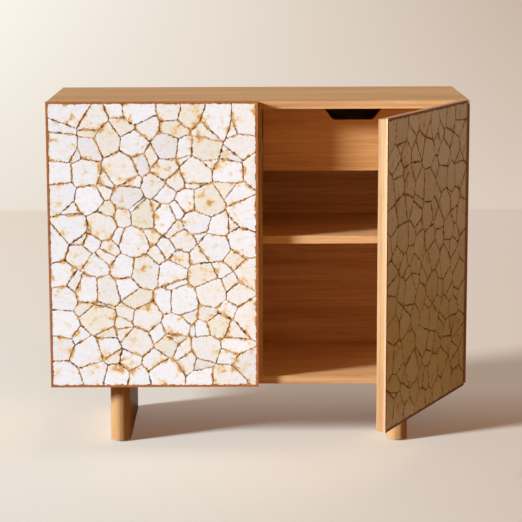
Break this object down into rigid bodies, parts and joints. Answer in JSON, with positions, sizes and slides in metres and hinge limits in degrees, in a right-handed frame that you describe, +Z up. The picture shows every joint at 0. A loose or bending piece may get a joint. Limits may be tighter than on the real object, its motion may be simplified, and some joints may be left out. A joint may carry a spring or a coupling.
{
  "type": "entryway cabinet",
  "caption": "Two-door oak entryway cabinet on blade legs, stone mosaic door faces, a drawer over a shelf behind each door.",
  "frame": {"origin": "on the floor, midway along the front faces of the closed doors", "axes": "+X along the width, to the right seen from the front; the doors face -Y; +Z up"},
  "size_m": [1.016, 0.8952, 0.849],
  "materials": {
    "oak": "satin clear-coated oak veneer",
    "oak_back": "satin oak veneer on thin board",
    "birch": "satin birch",
    "stone_mosaic": "polished quartz pieces in brown grout",
    "metal_strip": "brushed copper brown",
    "steel": "nickel plated",
    "felt": "matt",
    "black_plastic": "matt"
  },
  "bodies": {
    "case": {"top_panel": "oak", "left_side": "oak", "right_side": "oak", "bottom_panel": "oak", "centre_partition": "oak", "back_panel": "oak_back", "left_shelf": "oak", "right_shelf": "oak", "shelf_pins": "steel", "partition_dowels": "birch", "left_leg": "oak", "right_leg": "oak", "leg_bolts": "steel", "leg_sleeves": "steel", "leg_glides": "black_plastic", "drawer_spacers": "oak", "runner_rails": "steel", "runner_screws": "steel", "hinge_plates": "steel", "hinge_arms": "steel", "arm_pins": "steel", "plate_screws": "steel"},
    "left_links": {"left_hinge_links": "steel"},
    "left_door": {"left_door_core": "oak", "left_door_strips": "metal_strip", "left_mosaic": "stone_mosaic", "left_hinge_cups": "steel", "left_cup_pins": "steel", "left_cup_screws": "steel", "left_buffers": "felt"},
    "right_links": {"right_hinge_links": "steel"},
    "right_door": {"right_door_core": "oak", "right_door_strips": "metal_strip", "right_mosaic": "stone_mosaic", "right_hinge_cups": "steel", "right_cup_pins": "steel", "right_cup_screws": "steel", "right_buffers": "felt"},
    "left_drawer": {"left_drawer_front": "oak", "left_drawer_sides": "birch", "left_drawer_back": "birch", "left_drawer_bottom": "birch", "left_drawer_slides": "steel", "left_slide_screws": "steel"},
    "left_runner_cages": {"left_ball_cages": "black_plastic", "left_balls": "steel"},
    "right_drawer": {"right_drawer_front": "oak", "right_drawer_sides": "birch", "right_drawer_back": "birch", "right_drawer_bottom": "birch", "right_drawer_slides": "steel", "right_slide_screws": "steel"},
    "right_runner_cages": {"right_ball_cages": "black_plastic", "right_balls": "steel"}
  },
  "joints": [
    {"name": "left_link_turn", "type": "hinge", "parent": "case", "child": "left_links", "pos_m": [-0.47446, 0.04569, 0.4], "axis": [0, 0, -1], "range_deg": [-53, 1]},
    {"name": "left_door_turn", "type": "hinge", "parent": "left_links", "child": "left_door", "pos_m": [-0.49902, 0.01935, 0.4], "axis": [0, 0, -1], "range_deg": [0, 152]},
    {"name": "right_link_turn", "type": "hinge", "parent": "case", "child": "right_links", "pos_m": [0.47446, 0.04569, 0.4], "axis": [0, 0, 1], "range_deg": [-20, 35]},
    {"name": "right_door_turn", "type": "hinge", "parent": "right_links", "child": "right_door", "pos_m": [0.4806, 0.0102, 0.4], "axis": [0, 0, 1], "range_deg": [-96.98, 55.02]},
    {"name": "left_drawer_slide", "type": "slide", "parent": "case", "child": "left_drawer", "axis": [0, -1, 0], "range_m": [0, 0.076]},
    {"name": "left_cage_slide", "type": "slide", "parent": "case", "child": "left_runner_cages", "axis": [0, -1, 0], "range_m": [0, 0.038]},
    {"name": "right_drawer_slide", "type": "slide", "parent": "case", "child": "right_drawer", "axis": [0, -1, 0], "range_m": [0, 0.076]},
    {"name": "right_cage_slide", "type": "slide", "parent": "case", "child": "right_runner_cages", "axis": [0, -1, 0], "range_m": [0, 0.038]}
  ],
  "couplings": [
    {"joint": "left_link_turn", "follows": "left_door_turn", "ratio": -0.3421},
    {"joint": "right_link_turn", "follows": "right_door_turn", "ratio": -0.3421},
    {"joint": "left_cage_slide", "follows": "left_drawer_slide", "ratio": 0.5},
    {"joint": "right_cage_slide", "follows": "right_drawer_slide", "ratio": 0.5}
  ]
}
